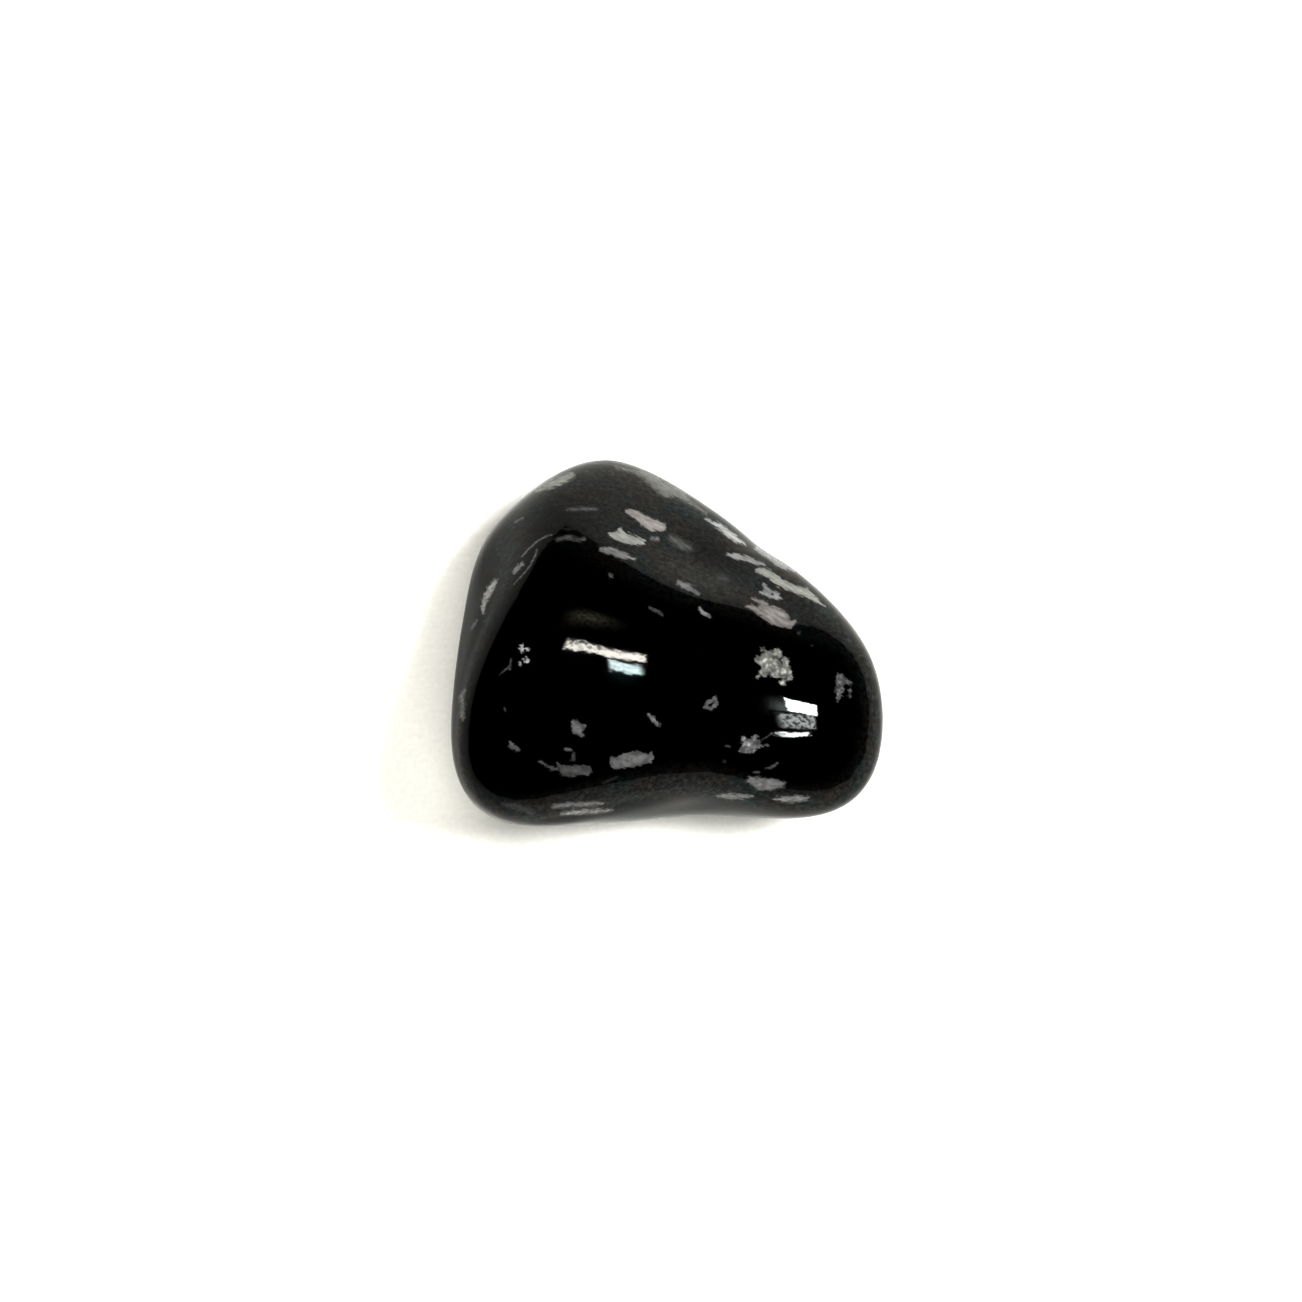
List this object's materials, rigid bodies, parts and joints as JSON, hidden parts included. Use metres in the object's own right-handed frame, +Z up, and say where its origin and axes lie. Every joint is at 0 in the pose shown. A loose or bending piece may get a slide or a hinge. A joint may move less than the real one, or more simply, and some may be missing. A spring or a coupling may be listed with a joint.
{
  "type": "tumbled snowflake obsidian pebble",
  "caption": "Tumbled pebble of black volcanic glass with grey snowflake flecks: a lopsided, rounded wedge, high at the front and thin at the back, polished all over.",
  "frame": {"origin": "under the middle of the pebble's box, on the surface that the pebble rests on", "axes": "+Z up from the surface it rests on, +X to the pebble's narrow right end and -Y to its high front side, as it is pictured"},
  "size_m": [0.0276, 0.027, 0.0157],
  "materials": {
    "polished_obsidian": "polished"
  },
  "bodies": {
    "root": {"snowflake_obsidian": "polished_obsidian"}
  },
  "joints": []
}
